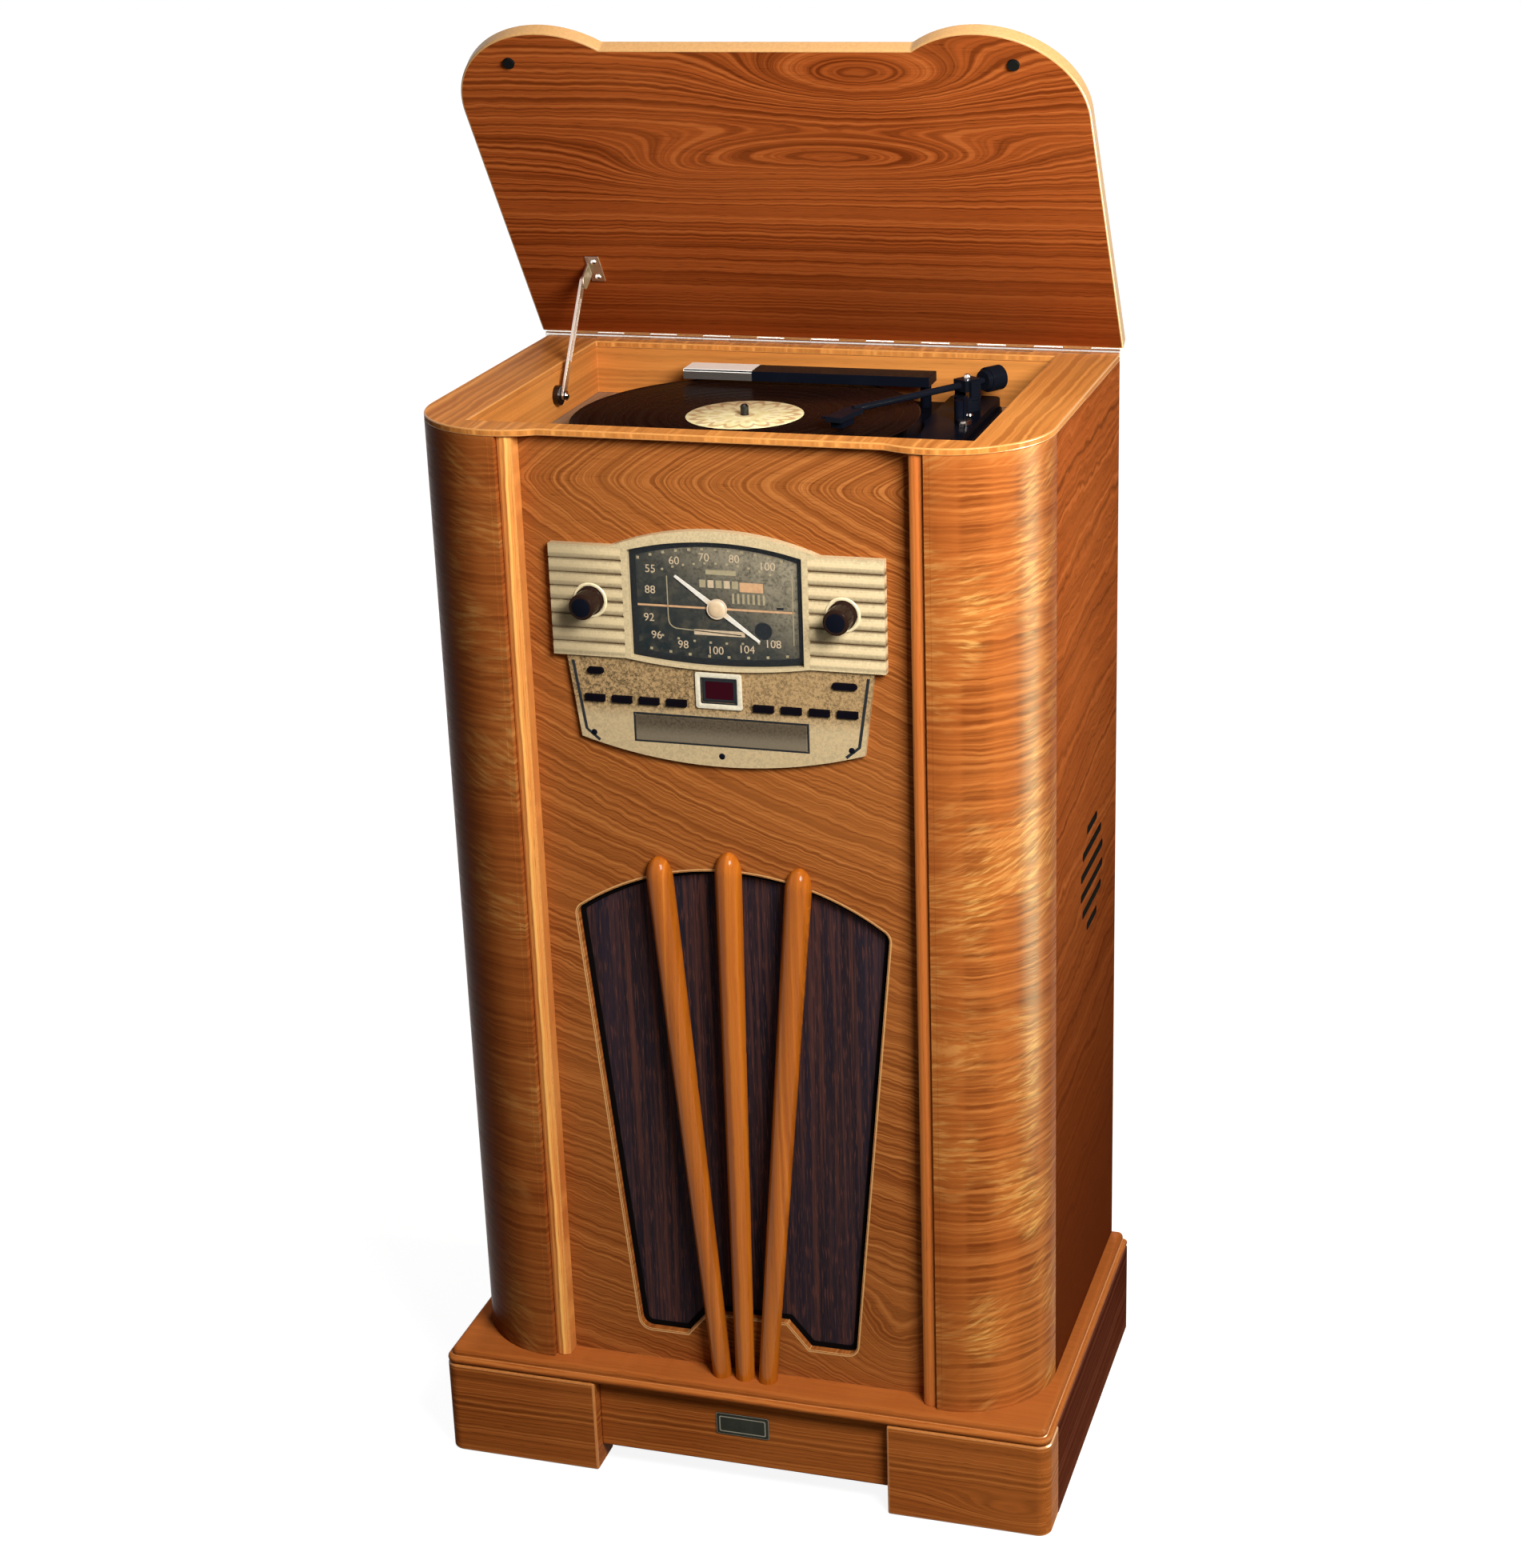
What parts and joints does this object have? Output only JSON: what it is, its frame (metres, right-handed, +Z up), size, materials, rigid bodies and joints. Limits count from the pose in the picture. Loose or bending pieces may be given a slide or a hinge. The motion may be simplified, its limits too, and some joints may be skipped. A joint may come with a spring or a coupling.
{
  "type": "record player console",
  "caption": "Floor-standing wooden cabinet with a turntable under a hinged lid, a front radio with knobs, keys and a disc drawer, and a fan-shaped speaker grille.",
  "frame": {"origin": "on the floor, in the middle of the whole outline with the lid open", "axes": "+Z up, -Y the front, +X to the right seen from the front"},
  "size_m": [0.571, 0.3786, 1.2818],
  "materials": {
    "side_oak": "satin",
    "column_oak": "satin",
    "panel_oak": "satin",
    "light_oak": "satin",
    "lid_oak": "satin",
    "plain_board": "matte",
    "cloth": "matte",
    "speaker_parts": "matte",
    "gold_plate": "satin",
    "dial_black": "matte",
    "dial_glass": "gloss",
    "display_red": "gloss",
    "chassis_steel": "satin",
    "inlet_plastic": "matte",
    "screw_steel": "satin",
    "hinge_steel": "satin",
    "stay_steel": "satin",
    "dark_metal": "satin",
    "black_plastic": "satin",
    "motor_steel": "satin",
    "belt_rubber": "matte",
    "platter_metal": "satin",
    "record_vinyl": "gloss",
    "pulley_brass": "satin",
    "arm_black": "satin",
    "cartridge_plastic": "gloss",
    "weight_metal": "satin",
    "knob_dark": "gloss",
    "needle_ivory": "satin",
    "key_dark": "satin",
    "drawer_olive": "satin",
    "lever_metal": "satin"
  },
  "bodies": {
    "cabinet": {"side_left": "side_oak", "side_right": "side_oak", "plinth_sides": "side_oak", "column_left": "column_oak", "column_right": "column_oak", "top_frame": "column_oak", "front_panel": "panel_oak", "plinth_board": "panel_oak", "plinth_rails": "panel_oak", "foot_blocks": "panel_oak", "pilasters": "light_oak", "well_lining": "light_oak", "grille_rods": "light_oak", "back_panel": "plain_board", "deck_board": "plain_board", "speaker_baffle": "plain_board", "grille_cloth": "cloth", "speakers": "speaker_parts", "upper_fascia": "gold_plate", "lower_fascia": "gold_plate", "dial_plate": "dial_black", "dial_lens": "dial_glass", "display_window": "display_red", "radio_chassis": "chassis_steel", "power_inlet": "inlet_plastic", "back_screws": "screw_steel", "cabinet_hinge_leaf": "hinge_steel", "stay_pivot": "dark_metal", "deck_plate": "black_plastic", "rear_bar": "black_plastic", "tonearm_base": "black_plastic", "drive_motor": "motor_steel", "drive_belt": "belt_rubber"},
    "lid": {"lid_board": "lid_oak", "lid_hinge_leaf": "hinge_steel", "lid_buffers": "belt_rubber", "stay_catch": "stay_steel"},
    "stay": {"stay_arm": "stay_steel"},
    "turntable": {"platter": "platter_metal", "record": "record_vinyl"},
    "pulley": {"motor_pulley": "pulley_brass"},
    "gimbal": {"tonearm_gimbal": "black_plastic"},
    "tonearm": {"tonearm_tube": "arm_black", "cartridge": "cartridge_plastic", "counterweight": "weight_metal"},
    "volume": {"volume_knob": "knob_dark"},
    "tuning": {"tuning_knob": "knob_dark"},
    "needle": {"dial_pointer": "needle_ivory"},
    "drawer": {"disc_drawer": "drawer_olive"},
    "lever": {"speed_lever": "lever_metal"},
    "button_left": {"left_button": "key_dark"},
    "button_right": {"right_button": "key_dark"},
    "key1": {"key_1": "key_dark"},
    "key2": {"key_2": "key_dark"},
    "key3": {"key_3": "key_dark"},
    "key4": {"key_4": "key_dark"},
    "key5": {"key_5": "key_dark"},
    "key6": {"key_6": "key_dark"},
    "key7": {"key_7": "key_dark"},
    "key8": {"key_8": "key_dark"}
  },
  "joints": [
    {"name": "lid_hinge", "type": "hinge", "parent": "cabinet", "child": "lid", "pos_m": [0, 0.17885, 0.9795], "axis": [1, 0, 0], "range_deg": [0, 56]},
    {"name": "stay_swing", "type": "hinge", "parent": "cabinet", "child": "stay", "pos_m": [-0.209, 0.05624, 0.952], "axis": [1, 0, 0], "range_deg": [0, 112]},
    {"name": "platter_spin", "type": "hinge", "parent": "cabinet", "child": "turntable", "pos_m": [-0.023, 0.00824, 0.95], "axis": [0, 0, 1], "continuous": true},
    {"name": "pulley_spin", "type": "hinge", "parent": "cabinet", "child": "pulley", "pos_m": [-0.10614, 0.05624, 0.94], "axis": [0, 0, 1], "continuous": true},
    {"name": "arm_swing", "type": "hinge", "parent": "cabinet", "child": "gimbal", "pos_m": [0.15, 0.10425, 0.955], "axis": [0, 0, 1], "range_deg": [-11, 40]},
    {"name": "arm_lift", "type": "hinge", "parent": "gimbal", "child": "tonearm", "pos_m": [0.15, 0.10425, 0.964], "axis": [-0.8221, 0.5693, 0], "range_deg": [0, 5]},
    {"name": "volume_turn", "type": "hinge", "parent": "cabinet", "child": "volume", "pos_m": [-0.109, -0.17, 0.833], "axis": [0, -1, 0], "range_deg": [-150, 150]},
    {"name": "tuning_turn", "type": "hinge", "parent": "cabinet", "child": "tuning", "pos_m": [0.109, -0.17, 0.833], "axis": [0, -1, 0], "range_deg": [-240, 400]},
    {"name": "needle_turn", "type": "hinge", "parent": "cabinet", "child": "needle", "pos_m": [0, -0.165, 0.83], "axis": [0, -1, 0], "range_deg": [-60, 100]},
    {"name": "speed_swing", "type": "hinge", "parent": "cabinet", "child": "lever", "pos_m": [0.161, 0.04824, 0.945], "axis": [0, 0, 1], "range_deg": [-20, 20]},
    {"name": "drawer_slide", "type": "slide", "parent": "cabinet", "child": "drawer", "axis": [0, -1, 0], "range_m": [0, 0.13]},
    {"name": "key_1_press", "type": "slide", "parent": "cabinet", "child": "key1", "axis": [0, 1, 0], "range_m": [0, 0.002], "stiffness_N_per_m": 300},
    {"name": "key_2_press", "type": "slide", "parent": "cabinet", "child": "key2", "axis": [0, 1, 0], "range_m": [0, 0.002], "stiffness_N_per_m": 300},
    {"name": "key_3_press", "type": "slide", "parent": "cabinet", "child": "key3", "axis": [0, 1, 0], "range_m": [0, 0.002], "stiffness_N_per_m": 300},
    {"name": "key_4_press", "type": "slide", "parent": "cabinet", "child": "key4", "axis": [0, 1, 0], "range_m": [0, 0.002], "stiffness_N_per_m": 300},
    {"name": "key_5_press", "type": "slide", "parent": "cabinet", "child": "key5", "axis": [0, 1, 0], "range_m": [0, 0.002], "stiffness_N_per_m": 300},
    {"name": "key_6_press", "type": "slide", "parent": "cabinet", "child": "key6", "axis": [0, 1, 0], "range_m": [0, 0.002], "stiffness_N_per_m": 300},
    {"name": "key_7_press", "type": "slide", "parent": "cabinet", "child": "key7", "axis": [0, 1, 0], "range_m": [0, 0.002], "stiffness_N_per_m": 300},
    {"name": "key_8_press", "type": "slide", "parent": "cabinet", "child": "key8", "axis": [0, 1, 0], "range_m": [0, 0.002], "stiffness_N_per_m": 300},
    {"name": "left_button_press", "type": "slide", "parent": "cabinet", "child": "button_left", "axis": [0, 1, 0], "range_m": [0, 0.002], "stiffness_N_per_m": 300},
    {"name": "right_button_press", "type": "slide", "parent": "cabinet", "child": "button_right", "axis": [0, 1, 0], "range_m": [0, 0.002], "stiffness_N_per_m": 300}
  ],
  "couplings": [
    {"joint": "stay_swing", "follows": "lid_hinge", "ratio": 2},
    {"joint": "pulley_spin", "follows": "platter_spin", "ratio": 10},
    {"joint": "needle_turn", "follows": "tuning_turn", "ratio": 0.25}
  ]
}
